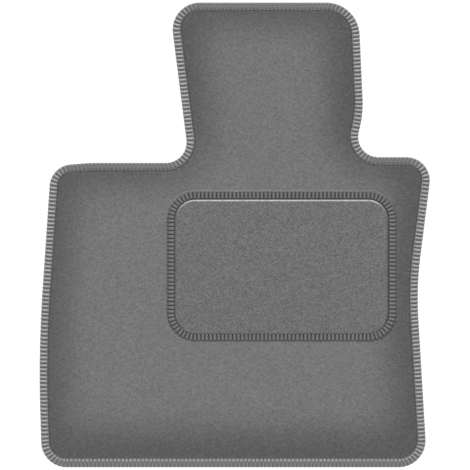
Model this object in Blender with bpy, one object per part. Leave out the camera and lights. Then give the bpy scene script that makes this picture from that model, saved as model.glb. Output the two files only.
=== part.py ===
"""Carpet floor mat for a driver's footwell, with a whipped edge and a sewn-on heel pad.

Metres, +Z up. The mat lies on the floor at z = 0. The origin is under the middle of its outline,
+Y points to the toe edge and +X to the right of someone standing on the mat.
"""

import math

import bmesh
import bpy
from mathutils import Matrix, Vector

# Outline of the mat from above: a wide body with a narrower neck. Reaches are measured left or right
# of the middle of the heel edge, lengths from the heel edge unless the name says otherwise.
HEEL_WIDTH = 0.539
BODY_LENGTH = 0.434  # heel edge to right shoulder
NECK_LENGTH = 0.216  # right shoulder to toe edge
TOE_LEFT_REACH = 0.092
TOE_RIGHT_REACH = 0.173
NECK_BULGE_REACH = 0.180
NECK_BULGE_RISE = 0.062  # above the right shoulder
ROOT_RIGHT_REACH = 0.166
RIGHT_SHOULDER_REACH = 0.2775
RIGHT_WAIST_REACH = 0.2545
RIGHT_WAIST_LENGTH = 0.252
LEFT_BULGE_REACH = 0.2745
LEFT_BULGE_LENGTH = 0.162
LEFT_SHOULDER_REACH = 0.257
LEFT_SHOULDER_DROP = 0.008  # below the right shoulder
LEFT_SHOULDER_RUN = 0.055  # from its outer end to its bend
LEFT_SHOULDER_FALL = 0.0045  # from its bend down to its outer end
ROOT_LEFT_REACH = 0.0635

# Radii that round the corners of that outline
TOE_LEFT_RADIUS = 0.038
TOE_RIGHT_RADIUS = 0.047
NECK_BULGE_RADIUS = 0.145
ROOT_RIGHT_RADIUS = 0.028
RIGHT_SHOULDER_RADIUS = 0.033
RIGHT_WAIST_RADIUS = 0.470
HEEL_RIGHT_RADIUS = 0.038
HEEL_LEFT_RADIUS = 0.036
LEFT_BULGE_RADIUS = 1.750
LEFT_SHOULDER_RADIUS = 0.032
LEFT_SHOULDER_BEND_RADIUS = 0.220
ROOT_LEFT_RADIUS = 0.029

# Heel pad, placed from the right side and the right shoulder of the mat
PAD_WIDTH = 0.321
PAD_LENGTH = 0.210
PAD_RADIUS = 0.040
PAD_SIDE_MARGIN = 0.0283  # to the narrowest part of the right side
PAD_SHOULDER_MARGIN = 0.048  # to the right shoulder
PAD_BED = 0.0008  # the mat's pile left under the pad, pressed flat

# Layers of the mat in its flat field, and pinched thin inside the whipped edge
BACKING_THICKNESS = 0.0020
BACKING_PINCHED = 0.0010
PRIMARY_THICKNESS = 0.0008
PRIMARY_PINCHED = 0.0005
PILE_HEIGHT = 0.0040
PILE_PINCHED = 0.0013
EDGE_SLOPE = 0.0060  # width over which the layers rise into the whipping
PILE_ROUNDING = 0.0050  # width over which the pile swells to its full height
PILE_SWELL = 0.65  # share of that height reached in the first third of the width

# Layers of the heel pad, in its field and pinched
PAD_BACKING_THICKNESS = 0.0010
PAD_BACKING_PINCHED = 0.0004
PAD_PILE_HEIGHT = 0.0024
PAD_PILE_PINCHED = 0.0006
PAD_EDGE_SLOPE = 0.0040
PAD_PILE_ROUNDING = 0.0015

# Whipped edges: bulky yarn over and under the edge, held by a needle thread on the inner line
STITCH_PITCH = 0.00552  # along the middle of the whipping
WHIP_WIDTH = 0.0112
UPPER_YARN = 0.0021
LOWER_YARN = 0.0012
RIB_DEPTH = 0.0010
WHIP_ROUNDING = 0.0012  # how far the yarn's shoulder stands in from the outer edge
NEEDLE_THREAD = 0.0007
PAD_WHIP_WIDTH = 0.0096
PAD_UPPER_YARN = 0.0010
PAD_LOWER_YARN = 0.0007
PAD_RIB_DEPTH = 0.0005
PAD_WHIP_ROUNDING = 0.0009
PAD_NEEDLE_THREAD = 0.0007

# Lockstitch that sews the pad to the mat: one thread on the pad, one under the mat
SEAM_THREAD = 0.0007

CLEARANCE = 0.0003  # between faces that touch
ARC_SAG = CLEARANCE / 2  # how far an arc may stand off its chords
THREAD_SIDES = 6
CUTTER_OVERRUN = 0.002

# Finishes: grey level, roughness
PILE_GREY = (0.18, 0.95)
PAD_GREY = (0.165, 0.95)
PRIMARY_GREY = (0.30, 0.90)
BACKING_GREY = (0.035, 0.80)
PAD_BACKING_GREY = (0.06, 0.85)
YARN_GREY = (0.25, 0.75)
THREAD_GREY = (0.22, 0.70)


class Outline:
    """A closed outline of straight sides and tangent arcs, walked clockwise seen from above.

    Every place on it has a point and an inward normal, so an inset outline is the point moved
    along the normal.
    """

    def __init__(self, corners):
        points = [Vector((x, y)) for x, y, _ in corners]
        sides = [end - start for start, end in zip(points, points[1:] + points[:1])]
        turns = [-sides[index - 1].angle_signed(sides[index]) for index in range(len(sides))]
        reaches = [radius * math.tan(abs(turn) / 2) for (_, _, radius), turn in zip(corners, turns)]
        # Where two arcs ask for more than the side between them, the longer one gives way first.
        spans = list(zip(sides, reaches, reaches[1:] + reaches[:1]))
        start_fits = [self.room(side.length, there, here) for side, here, there in spans]
        end_fits = [self.room(side.length, here, there) for side, here, there in spans]
        arcs = []
        for index, point in enumerate(points):
            fit = min(end_fits[index - 1], start_fits[index])
            along = sides[index - 1].normalized()
            arcs.append(self.arc(point - along * reaches[index] * fit, along, turns[index],
                                 corners[index][2] * fit))
        self.runs = []
        for arc, following in zip(arcs, arcs[1:] + arcs[:1]):
            self.runs += [arc, self.side(arc, following)]

    @staticmethod
    def room(side, other, reach):
        """Share of an arc's reach that a side has room for beside its other arc, half the side at least."""
        return min(1.0, max(side - other, side / 2) / reach) if reach else 1.0

    @staticmethod
    def arc(start, along, turn, radius):
        """An arc that leaves start along a direction. A clockwise turn bulges outwards."""
        inward = Vector((along.y, -along.x))
        bulge = 1 if turn < 0 else -1
        return {"centre": start + inward * radius * bulge, "radius": radius * bulge, "inward": inward,
                "turn": turn, "length": radius * abs(turn)}

    def side(self, arc, following):
        """The straight side from the end of one arc to the start of the next."""
        start, inward = self.place(arc, 1.0)
        end, _ = self.place(following, 0.0)
        return {"start": start, "end": end, "inward": inward, "length": (end - start).length}

    @staticmethod
    def place(run, share):
        """Point and inward normal at a share of one run."""
        if "start" in run:
            return run["start"].lerp(run["end"], share), run["inward"]
        inward = Matrix.Rotation(run["turn"] * share, 2) @ run["inward"]
        return run["centre"] - inward * run["radius"], inward

    def sparsely(self):
        """Places at the ends of the straight sides, and round the arcs as often as ARC_SAG asks.

        Where an arc follows the last with no side between them, the place they share comes once.
        """
        places = []
        for index in range(0, len(self.runs), 2):
            run, side_before = self.runs[index], self.runs[index - 1]
            widest_step = 2 * math.acos(1 - ARC_SAG / abs(run["radius"]))
            steps = max(2, math.ceil(abs(run["turn"]) / widest_step))
            first = 0 if side_before["length"] > CLEARANCE else 1
            places += [self.place(run, step / steps) for step in range(first, steps + 1)]
        return places

    def alternately(self, pitch, inset):
        """Two places for each pitch, spaced evenly along the line that runs that far in from the outline."""
        lengths = [run["length"] + inset * run.get("turn", 0.0) for run in self.runs]
        count = 2 * round(sum(lengths) / pitch)
        places, run, passed = [], 0, 0.0
        for index in range(count):
            along = sum(lengths) * index / count
            while along >= passed + lengths[run]:
                passed += lengths[run]
                run += 1
            places.append(self.place(self.runs[run], (along - passed) / lengths[run]))
        return places

    def box_middle(self):
        xs = [point.x for point, _ in self.sparsely()]
        ys = [point.y for point, _ in self.sparsely()]
        return Vector(((min(xs) + max(xs)) / 2, (min(ys) + max(ys)) / 2))


def mat_outline():
    left_shoulder = BODY_LENGTH - LEFT_SHOULDER_DROP
    toe = BODY_LENGTH + NECK_LENGTH
    return Outline([
        (-TOE_LEFT_REACH, toe, TOE_LEFT_RADIUS),
        (TOE_RIGHT_REACH, toe, TOE_RIGHT_RADIUS),
        (NECK_BULGE_REACH, BODY_LENGTH + NECK_BULGE_RISE, NECK_BULGE_RADIUS),
        (ROOT_RIGHT_REACH, BODY_LENGTH, ROOT_RIGHT_RADIUS),
        (RIGHT_SHOULDER_REACH, BODY_LENGTH, RIGHT_SHOULDER_RADIUS),
        (RIGHT_WAIST_REACH, RIGHT_WAIST_LENGTH, RIGHT_WAIST_RADIUS),
        (HEEL_WIDTH / 2, 0.0, HEEL_RIGHT_RADIUS),
        (-HEEL_WIDTH / 2, 0.0, HEEL_LEFT_RADIUS),
        (-LEFT_BULGE_REACH, LEFT_BULGE_LENGTH, LEFT_BULGE_RADIUS),
        (-LEFT_SHOULDER_REACH, left_shoulder - LEFT_SHOULDER_FALL, LEFT_SHOULDER_RADIUS),
        (LEFT_SHOULDER_RUN - LEFT_SHOULDER_REACH, left_shoulder, LEFT_SHOULDER_BEND_RADIUS),
        (-ROOT_LEFT_REACH, left_shoulder, ROOT_LEFT_RADIUS),
    ])


def pad_outline():
    """The heel pad's rounded rectangle about its own middle."""
    x, y = PAD_WIDTH / 2, PAD_LENGTH / 2
    return Outline([(-x, y, PAD_RADIUS), (x, y, PAD_RADIUS), (x, -y, PAD_RADIUS), (-x, -y, PAD_RADIUS)])


def stacked(base, *thicknesses):
    """(bottom, top) of layers laid on each other from base, a clearance apart."""
    spans = []
    for thickness in thicknesses:
        spans.append((base, base + thickness))
        base += thickness + CLEARANCE
    return spans


def swept(name, places, sections, capped=False):
    """A closed solid made by carrying a section of (inset, height) points round an outline.

    Several sections alternate from place to place. A capped section starts and ends on a flat face
    that fills the outline; otherwise the section closes on itself and the solid is a ring.
    """
    bm = bmesh.new()
    rows = []
    for index, (point, inward) in enumerate(places):
        section = sections[index % len(sections)]
        rows.append([bm.verts.new((*(point + inward * inset), height)) for inset, height in section])
    for row, following in zip(rows, rows[1:] + rows[:1]):
        sides = list(zip(row, following))
        pairs = zip(sides, sides[1:] + ([] if capped else sides[:1]))
        for (here, there), (here_next, there_next) in pairs:
            bm.faces.new((here, there, there_next, here_next))
    if capped:
        bm.faces.new([row[0] for row in rows])
        bm.faces.new([row[-1] for row in rows])
    bmesh.ops.recalc_face_normals(bm, faces=bm.faces)
    mesh = bpy.data.meshes.new(name)
    bm.to_mesh(mesh)
    bm.free()
    return bpy.data.objects.new(name, mesh)


def finished(piece, parent, grey_and_roughness):
    """Links a piece under its parent, with a matt grey material of its own and smooth shading."""
    grey, roughness = grey_and_roughness
    material = bpy.data.materials.new(piece.name)
    material.use_nodes = True
    shader = material.node_tree.nodes["Principled BSDF"]
    shader.inputs["Base Color"].default_value = (grey, grey, grey, 1.0)
    shader.inputs["Roughness"].default_value = roughness
    shader.inputs["Metallic"].default_value = 0.0
    piece.data.materials.append(material)
    piece.data.shade_smooth()
    piece.data.set_sharp_from_angle(angle=math.radians(35))
    piece.parent = parent
    bpy.context.scene.collection.objects.link(piece)
    return piece


def empty(name, location, parent=None):
    marker = bpy.data.objects.new(name, None)
    marker.location = location
    marker.parent = parent
    bpy.context.scene.collection.objects.link(marker)
    return marker


def cut(piece, cutter, parent):
    """Takes a hidden cutter out of a piece."""
    cutter.hide_render = True
    cutter.display_type = "WIRE"
    cutter.parent = parent
    bpy.context.scene.collection.objects.link(cutter)
    boolean = piece.modifiers.new(cutter.name, "BOOLEAN")
    boolean.operation = "DIFFERENCE"
    boolean.object = cutter


def layer_section(field, edge, edge_inset, slope_start, slope_end, top_rise=None):
    """Section of one layer, from the rim of its underside round the pinched edge to the rim of its top.

    top_rise replaces the top's plain slope by its own (inset, height) points.
    """
    underside = [(slope_end, field[0]), (slope_start, edge[0]), (edge_inset, edge[0])]
    top = top_rise or [(slope_start, edge[1]), (slope_end, field[1])]
    return [*underside, (edge_inset, edge[1]), *top]


def pile_rise(start, width, low, high):
    """Top of a pile that swells quickly and then eases into its full height."""
    return [(start, low), (start + width / 3, low + (high - low) * PILE_SWELL), (start + width, high)]


def yarn_section(span, middle, width, yarn, rounding):
    """Section of a whipping yarn that lies over the edge from its inner line to the middle of its side.

    span runs from the face on the carpet to the outer face, so the same form serves above and below.
    """
    on_carpet, outside = span
    return [(0.0, middle), (rounding, outside), (width, outside), (width, on_carpet), (yarn, on_carpet)]


def between_stitches(section, depth):
    """An upper yarn's section half way from one stitch to the next, where its outer face lies deeper."""
    tip, shoulder, inner, *on_carpet = section
    return [tip, *[(inset, height - depth) for inset, height in (shoulder, inner)], *on_carpet]


def thread_section(inset, height, diameter):
    """A round thread's section about its middle."""
    turns = [2 * math.pi * side / THREAD_SIDES for side in range(THREAD_SIDES)]
    return [(inset + diameter / 2 * math.cos(t), height + diameter / 2 * math.sin(t)) for t in turns]


def groove_section(inset, depth, width):
    """A square groove that opens downwards through z = 0."""
    left, right = inset - width / 2, inset + width / 2
    return [(left, -CUTTER_OVERRUN), (left, depth), (right, depth), (right, -CUTTER_OVERRUN)]


def whipping(prefix, outline, parent, spans, width, yarns, depth, rounding):
    """Upper yarn with a rib for each stitch, and the plain lower yarn that meets it half way up the edge."""
    lower, upper = spans
    middle = (lower[0] + upper[1]) / 2
    crest = yarn_section(upper, middle + CLEARANCE / 2, width, yarns[1], rounding)
    places = outline.alternately(STITCH_PITCH, width / 2)
    over = [crest, between_stitches(crest, depth)]
    finished(swept(prefix + "_upper_yarn", places, over), parent, YARN_GREY)
    under = yarn_section(lower[::-1], middle - CLEARANCE / 2, width, yarns[0], rounding)
    finished(swept(prefix + "_lower_yarn", outline.sparsely(), [under]), parent, YARN_GREY)


def build_mat(outline, parent):
    """Backing, primary backing and pile, whipped together round their edge.

    Returns the pile, the backing and the heights between which the pile lies.
    """
    places = outline.sparsely()
    backing, primary, pile = stacked(0.0, BACKING_THICKNESS, PRIMARY_THICKNESS, PILE_HEIGHT)
    under, edge_backing, edge_primary, edge_pile, over = stacked(
        0.0, LOWER_YARN, BACKING_PINCHED, PRIMARY_PINCHED, PILE_PINCHED, UPPER_YARN)
    edge_inset = max(UPPER_YARN, LOWER_YARN) + CLEARANCE
    slope = (edge_inset, WHIP_WIDTH + CLEARANCE, WHIP_WIDTH + CLEARANCE + EDGE_SLOPE)

    backing_sheet = swept("anti_slip_backing", places, [layer_section(backing, edge_backing, *slope)], True)
    finished(backing_sheet, parent, BACKING_GREY)
    primary_sheet = swept("primary_backing", places, [layer_section(primary, edge_primary, *slope)], True)
    finished(primary_sheet, parent, PRIMARY_GREY)

    thread_inset = WHIP_WIDTH + CLEARANCE + NEEDLE_THREAD / 2
    pile_start = thread_inset + NEEDLE_THREAD / 2 + CLEARANCE
    rise = pile_rise(pile_start, PILE_ROUNDING, edge_pile[1], pile[1])
    pile_sheet = swept("pile_carpet", places, [layer_section(pile, edge_pile, *slope, rise)], True)
    finished(pile_sheet, parent, PILE_GREY)

    whipping("edge", outline, parent, (under, over), WHIP_WIDTH, (LOWER_YARN, UPPER_YARN),
             RIB_DEPTH, WHIP_ROUNDING)
    needle = thread_section(thread_inset, edge_pile[1] + CLEARANCE + NEEDLE_THREAD / 2, NEEDLE_THREAD)
    finished(swept("edge_needle_thread", places, [needle]), parent, THREAD_GREY)
    return pile_sheet, backing_sheet, pile


def build_heel_pad(outline, parent, base):
    """Pad backing and pile from base up, with their own whipping and the seam that holds the pad down.

    Returns how far that seam runs in from the pad's edge.
    """
    places = outline.sparsely()
    backing, pile = stacked(base, PAD_BACKING_THICKNESS, PAD_PILE_HEIGHT)
    under, edge_backing, edge_pile, over = stacked(
        base, PAD_LOWER_YARN, PAD_BACKING_PINCHED, PAD_PILE_PINCHED, PAD_UPPER_YARN)
    edge_inset = max(PAD_UPPER_YARN, PAD_LOWER_YARN) + CLEARANCE
    slope = (edge_inset, PAD_WHIP_WIDTH + CLEARANCE, PAD_WHIP_WIDTH + CLEARANCE + PAD_EDGE_SLOPE)

    backing_sheet = swept("heel_pad_backing", places, [layer_section(backing, edge_backing, *slope)], True)
    finished(backing_sheet, parent, PAD_BACKING_GREY)

    needle_inset = PAD_WHIP_WIDTH + CLEARANCE + PAD_NEEDLE_THREAD / 2
    seam_inset = needle_inset + PAD_NEEDLE_THREAD / 2 + CLEARANCE + SEAM_THREAD / 2
    pile_start = seam_inset + SEAM_THREAD / 2 + CLEARANCE
    rise = pile_rise(pile_start, PAD_PILE_ROUNDING, edge_pile[1], pile[1])
    pile_sheet = swept("heel_pad_pile", places, [layer_section(pile, edge_pile, *slope, rise)], True)
    finished(pile_sheet, parent, PAD_GREY)

    whipping("heel_pad", outline, parent, (under, over), PAD_WHIP_WIDTH, (PAD_LOWER_YARN, PAD_UPPER_YARN),
             PAD_RIB_DEPTH, PAD_WHIP_ROUNDING)
    ditch = edge_pile[1] + CLEARANCE
    needle = thread_section(needle_inset, ditch + PAD_NEEDLE_THREAD / 2, PAD_NEEDLE_THREAD)
    finished(swept("heel_pad_needle_thread", places, [needle]), parent, THREAD_GREY)
    seam = thread_section(seam_inset, ditch + SEAM_THREAD / 2, SEAM_THREAD)
    finished(swept("heel_pad_seam_thread", places, [seam]), parent, THREAD_GREY)
    bobbin = thread_section(seam_inset, CLEARANCE + SEAM_THREAD / 2, SEAM_THREAD)
    finished(swept("heel_pad_bobbin_thread", places, [bobbin]), parent, THREAD_GREY)
    return seam_inset


def main():
    for old in list(bpy.data.objects):
        bpy.data.objects.remove(old)
    mat, pad = mat_outline(), pad_outline()
    middle = mat.box_middle()
    mat_frame = empty("floor_mat", (-middle.x, -middle.y, 0.0))
    pad_x = min(RIGHT_WAIST_REACH, RIGHT_SHOULDER_REACH) - PAD_SIDE_MARGIN - PAD_WIDTH / 2
    pad_y = BODY_LENGTH - PAD_SHOULDER_MARGIN - PAD_LENGTH / 2
    pad_frame = empty("heel_pad", (pad_x, pad_y, 0.0), mat_frame)

    pile, backing, (pile_bottom, pile_top) = build_mat(mat, mat_frame)
    pocket_floor = pile_bottom + PAD_BED
    seam_inset = build_heel_pad(pad, pad_frame, pocket_floor + CLEARANCE)

    # The pad beds into the pile, and the bobbin thread into a groove under the mat.
    pocket = [(-CLEARANCE, pocket_floor), (-CLEARANCE, pile_top + CUTTER_OVERRUN)]
    cut(pile, swept("pad_pocket", pad.sparsely(), [pocket], True), pad_frame)
    groove_side = SEAM_THREAD + 2 * CLEARANCE
    groove = groove_section(seam_inset, groove_side, groove_side)
    cut(backing, swept("bobbin_groove", pad.sparsely(), [groove]), pad_frame)


main()
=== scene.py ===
import math

import bpy
import numpy as np
from mathutils.geometry import delaunay_2d_cdt
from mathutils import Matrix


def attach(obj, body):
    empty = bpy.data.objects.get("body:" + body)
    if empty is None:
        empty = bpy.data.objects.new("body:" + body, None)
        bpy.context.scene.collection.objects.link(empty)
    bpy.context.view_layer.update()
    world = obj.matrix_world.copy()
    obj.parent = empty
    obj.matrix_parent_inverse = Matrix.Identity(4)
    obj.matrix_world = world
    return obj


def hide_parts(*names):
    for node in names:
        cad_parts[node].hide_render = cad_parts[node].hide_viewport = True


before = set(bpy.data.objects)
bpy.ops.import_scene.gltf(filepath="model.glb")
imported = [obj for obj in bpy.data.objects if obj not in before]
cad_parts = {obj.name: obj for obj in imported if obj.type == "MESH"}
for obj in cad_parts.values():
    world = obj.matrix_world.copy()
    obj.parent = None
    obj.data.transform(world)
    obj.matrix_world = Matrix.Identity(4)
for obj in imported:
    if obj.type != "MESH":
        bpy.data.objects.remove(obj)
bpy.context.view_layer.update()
mm = 0.001  # shapes are worked out in mm and put into the meshes in metres
print("frame loaded:", len(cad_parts), "nodes")


# Outlines: straight sides joined by tangent arcs, walked clockwise seen from above

matCut = {
    # x and y from the middle of the heel edge, and the radius that rounds the corner
    "corners": [(-92, 650, 38), (173, 650, 47), (180, 496, 145), (166, 434, 28), (277.5, 434, 33),
                (254.5, 252, 470), (269.5, 0, 38), (-269.5, 0, 36), (-274.5, 162, 1750), (-257, 421.5, 32),
                (-202, 426, 220), (-63.5, 426, 29)],
    "station": 1.8,  # spacing of the points along the edge
    "boxStation": 0.25,  # closer, to find the outline's box
}
padCut = {"middle": (65.7, 281.0), "size": (321, 210), "radius": 40, "station": 1.5}


def dot(a, b):
    return (a * b).sum(axis=-1)


def makeOutline(corners):
    # Each corner's arc touches both sides at radius * tan(half the turn) from the corner. A clockwise turn
    # bulges outwards and has a positive radius. The centre lies one radius in from the arc's first point.
    table = np.array(corners, float)
    points, radius = table[:, :2], table[:, 2]
    side = np.roll(points, -1, axis=0) - points
    after = side / np.linalg.norm(side, axis=1)[:, None]
    before = np.roll(after, 1, axis=0)
    turn = np.arctan2(before[:, 0] * after[:, 1] - before[:, 1] * after[:, 0], dot(before, after))
    reach = radius * np.tan(np.abs(turn) / 2)
    inward = np.stack([before[:, 1], -before[:, 0]], axis=1)
    bulge = -np.sign(turn)
    arcStart = points - before * reach[:, None]
    sideStart = points + after * reach[:, None]
    sideRun = np.roll(arcStart, -1, axis=0) - sideStart
    lengths = np.stack([radius * np.abs(turn), np.linalg.norm(sideRun, axis=1)], axis=1).ravel()
    return {"centre": arcStart + inward * (radius * bulge)[:, None], "radius": radius * bulge, "turn": turn,
            "arcInward": inward, "sideStart": sideStart, "sideRun": sideRun,
            "sideInward": np.stack([after[:, 1], -after[:, 0]], axis=1),
            "lengths": lengths, "ends": np.cumsum(lengths), "length": lengths.sum()}


def turned(vectors, angle):
    c, s = np.cos(angle), np.sin(angle)
    return np.stack([c * vectors[:, 0] - s * vectors[:, 1], s * vectors[:, 0] + c * vectors[:, 1]], axis=1)


def walk(outline, along):
    # Point and inward normal at each distance along the outline. On an arc the normal turns evenly and the
    # point is the centre less radius times normal. On a side the point moves straight and the normal stays.
    s = np.mod(along, outline["length"])
    run = np.minimum(np.searchsorted(outline["ends"], s, side="right"), len(outline["ends"]) - 1)
    share = (s - outline["ends"][run] + outline["lengths"][run]) / outline["lengths"][run]
    corner, onSide = run // 2, (run % 2 == 1)[:, None]
    arcInward = turned(outline["arcInward"][corner], outline["turn"][corner] * share)
    arcPoint = outline["centre"][corner] - arcInward * outline["radius"][corner][:, None]
    sidePoint = outline["sideStart"][corner] + outline["sideRun"][corner] * share[:, None]
    return np.where(onSide, sidePoint, arcPoint), np.where(onSide, outline["sideInward"][corner], arcInward)


def insetOf(outline, points):
    # How far in from the outline each point lies, less than 0 outside it: the distance to the nearest of the
    # straight sides and of the arcs that face the point
    inset = np.full(len(points), np.inf)

    def keepNearest(signed, valid=True):
        nearer = valid & (np.abs(signed) < np.abs(inset))
        inset[nearer] = signed[nearer]

    for k in range(len(outline["turn"])):
        run, offset = outline["sideRun"][k], points - outline["sideStart"][k]
        share = np.clip(offset @ run / (run @ run), 0, 1)
        away = np.linalg.norm(offset - share[:, None] * run, axis=1)
        keepNearest(np.where(offset @ outline["sideInward"][k] >= 0, away, -away))
        radius, half = outline["radius"][k], outline["turn"][k] / 2
        radial = points - outline["centre"][k]
        reach = np.linalg.norm(radial, axis=1)
        middle = -np.sign(radius) * turned(outline["arcInward"][k:k + 1], half)[0]
        keepNearest(np.sign(radius) * (abs(radius) - reach), radial @ middle >= reach * math.cos(half))
    return inset


def placed(corners, shift):
    return [(x + shift[0], y + shift[1], radius) for x, y, radius in corners]


halfX, halfY = np.array(padCut["size"]) / 2
padCorners = [(x * halfX, y * halfY, padCut["radius"]) for x, y in ((-1, 1), (1, 1), (1, -1), (-1, -1))]
drawn = makeOutline(matCut["corners"])
rim, _ = walk(drawn, np.arange(0, drawn["length"], matCut["boxStation"]))
middle = (rim.min(axis=0) + rim.max(axis=0)) / 2  # the frame's origin is under the middle of this box
mat = makeOutline(placed(matCut["corners"], -middle))
pad = makeOutline(placed(padCorners, np.array(padCut["middle"]) - middle))
print("outlines: mat %.0f mm round, pad %.0f mm round" % (mat["length"], pad["length"]))


# Meshes

def volumeOf(points, faces):
    # Sum of the signed tetrahedra from the origin to each face's triangles
    total = 0.0
    for block in faces:
        for last in range(2, block.shape[1]):
            a, b, c = points[block[:, 0]], points[block[:, last - 1]], points[block[:, last]]
            total += dot(a, np.cross(b, c)).sum() / 6
    return total


def addObject(name, data):
    made = bpy.data.objects.new(name, data)
    bpy.context.scene.collection.objects.link(made)
    return made


def addPiece(name, points, faces, material, uv=None, **values):
    # points in mm, faces as blocks of triangles or quads, uv per face corner, values per point
    if volumeOf(points, faces) < 0:
        faces = [block[:, ::-1] for block in faces]
        uv = None if uv is None else uv[:, ::-1]
    mesh = bpy.data.meshes.new(name)
    corners = np.concatenate([block.ravel() for block in faces])
    sizes = np.concatenate([np.full(len(block), block.shape[1]) for block in faces])
    mesh.vertices.add(len(points))
    mesh.vertices.foreach_set("co", (points * mm).ravel())
    mesh.loops.add(len(corners))
    mesh.loops.foreach_set("vertex_index", corners.astype(np.int32))
    mesh.polygons.add(len(sizes))
    mesh.polygons.foreach_set("loop_start", (np.cumsum(sizes) - sizes).astype(np.int32))
    mesh.update(calc_edges=True)
    mesh.shade_smooth()
    if uv is not None:
        mesh.uv_layers.new(name="threadMap").data.foreach_set("uv", uv.astype(np.float32).ravel())
    for key, value in values.items():
        mesh.attributes.new(key, "FLOAT", "POINT").data.foreach_set("value", value.astype(np.float32))
    mesh.validate()
    mesh.materials.append(material)
    print("  %s: %d triangles" % (name, (sizes - 2).sum()))
    return addObject(name, mesh)


def ringFaces(stations, section, closed):
    # Quads between neighbouring stations of a profile carried round a closed path, as indices into
    # (station, section)
    i, j = np.meshgrid(np.arange(stations), np.arange(section if closed else section - 1), indexing="ij")
    iNext, jNext = (i + 1) % stations, (j + 1) % section
    return np.stack([i * section + j, iNext * section + j, iNext * section + jNext, i * section + jNext],
                    axis=-1).reshape(-1, 4)


def ringMap(along, across):
    # Map of a closed ring's quads, corner by corner as ringFaces has them: mm along the path and across the
    # section. Both lists have one more value than the ring has points, for the quads that close it.
    i, j = np.meshgrid(np.arange(len(along) - 1), np.arange(len(across) - 1), indexing="ij")
    corners = ((i, j), (i + 1, j), (i + 1, j + 1), (i, j + 1))
    return np.stack([np.stack([along[a], across[b]], axis=-1) for a, b in corners], axis=2).reshape(-1, 4, 2)


def evenAlong(outline, station):
    # Distances along the outline, even all round and about a station apart
    count = round(outline["length"] / station)
    return np.arange(count) * outline["length"] / count


def ringAt(outline, inset, station):
    xy, inward = walk(outline, evenAlong(outline, station))
    return xy + inward * inset


def carried(outline, along, inset, height):
    # A profile of insets and heights carried along the outline: the point there moved inwards by the inset
    xy, inward = walk(outline, along.ravel())
    return np.column_stack([xy + inward * inset.ravel()[:, None], height.ravel()])


def hexGrid(points, step, rng):
    # Rows sqrt(0.75) steps apart with every second row half a step along, over the points' box, each point a
    # little off
    stray = 0.22
    low, high = points.min(axis=0), points.max(axis=0)
    x, y = np.meshgrid(np.arange(low[0], high[0], step), np.arange(low[1], high[1], step * math.sqrt(0.75)))
    x = x + (np.arange(len(x)) % 2)[:, None] * step / 2
    grid = np.stack([x.ravel(), y.ravel()], axis=1)
    return grid + rng.uniform(-stray, stray, grid.shape) * step


def onField(outline, inset, step, rng, station):
    # Grid points that lie further in than the ring at that inset, by at least a little over half a step
    clear = 0.55
    grid = hexGrid(ringAt(outline, inset, station), step, rng)
    return grid[insetOf(outline, grid) > inset + step * clear]


bottomRing, topRing = 0, -1  # a layer's section starts on its underside and ends on its top


def flatField(outline, shape, end, rng, step="coarse"):
    # Points inside the first or last ring of a layer's section, level with the ring
    inset, height = shape["section"][end]
    points = onField(outline, inset, shape[step], rng, shape["station"])
    return points, np.full(len(points), height)


def fillField(ring, inner):
    # Delaunay triangles over a closed ring and the points inside it, as indices with the ring first
    insideRing, nearest = 1, 1e-6
    coords = np.concatenate([ring, inner])
    made = delaunay_2d_cdt(coords.tolist(), [], [list(range(len(ring)))], insideRing, nearest)
    assert len(made[0]) == len(coords)
    return np.array(made[2])


def sheetPiece(name, outline, shape, top, bottom, material, tones=None):
    # A layer of the mat: its section runs from a ring on the underside, out round the edge, to a ring on the
    # top, and is carried round the outline. Triangles fill both rings. top and bottom each give the points
    # inside their ring and the height at each point.
    along = evenAlong(outline, shape["station"])
    inset, height = np.array(shape["section"], float).T
    count, section = len(along), len(inset)
    band = carried(outline, np.repeat(along[:, None], section, axis=1), np.tile(inset, (count, 1)),
                   np.tile(height, (count, 1)))
    ids = np.arange(count * section).reshape(count, section)
    points, faces = [band], [ringFaces(count, section, False)]
    used = len(band)
    for end, (inner, heights) in ((topRing, top), (bottomRing, bottom)):
        ring = ids[:, end]
        lookUp = np.concatenate([ring, used + np.arange(len(inner))])
        triangles = lookUp[fillField(band[ring][:, :2], inner)]
        points.append(np.column_stack([inner, heights]))
        faces.append(triangles[:, ::-1] if end == bottomRing else triangles)
        used += len(inner)
    points = np.concatenate(points)
    # the last quad of the first station lies on the top: if it faces down, the band is inside out
    quad = points[faces[0][section - 2]]
    if np.cross(quad[1] - quad[0], quad[2] - quad[1])[2] < 0:
        faces[0] = faces[0][:, ::-1]
    return addPiece(name, points, faces, material, **(tones(points) if tones else {}))


# Shader groups that several finishes share

def place(tree, kind, inputs=None, **settings):
    made = tree.nodes.new(kind)
    for key, value in settings.items():
        setattr(made, key, value)
    for key, value in (inputs or {}).items():
        if isinstance(value, bpy.types.NodeSocket):
            tree.links.new(value, made.inputs[key])
        else:
            made.inputs[key].default_value = value
    return made


def sums(tree, operation, *values):
    return place(tree, "ShaderNodeMath", dict(enumerate(values)), operation=operation).outputs[0]


def vectorSums(tree, operation, inputs):
    return place(tree, "ShaderNodeVectorMath", inputs, operation=operation).outputs[0]


def startGroup(name, inputs, outputs):
    group = bpy.data.node_groups.new(name, "ShaderNodeTree")
    for direction, sockets in (("INPUT", inputs), ("OUTPUT", outputs)):
        for socket, kind in sockets.items():
            group.interface.new_socket(socket, in_out=direction, socket_type="NodeSocket" + kind)
    return group, place(group, "NodeGroupInput").outputs, place(group, "NodeGroupOutput").inputs


def toneAboutOne(group, value, middle, contrast):
    swing = sums(group, "MULTIPLY", sums(group, "SUBTRACT", value, middle), contrast)
    return sums(group, "ADD", swing, 1.0)


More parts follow.
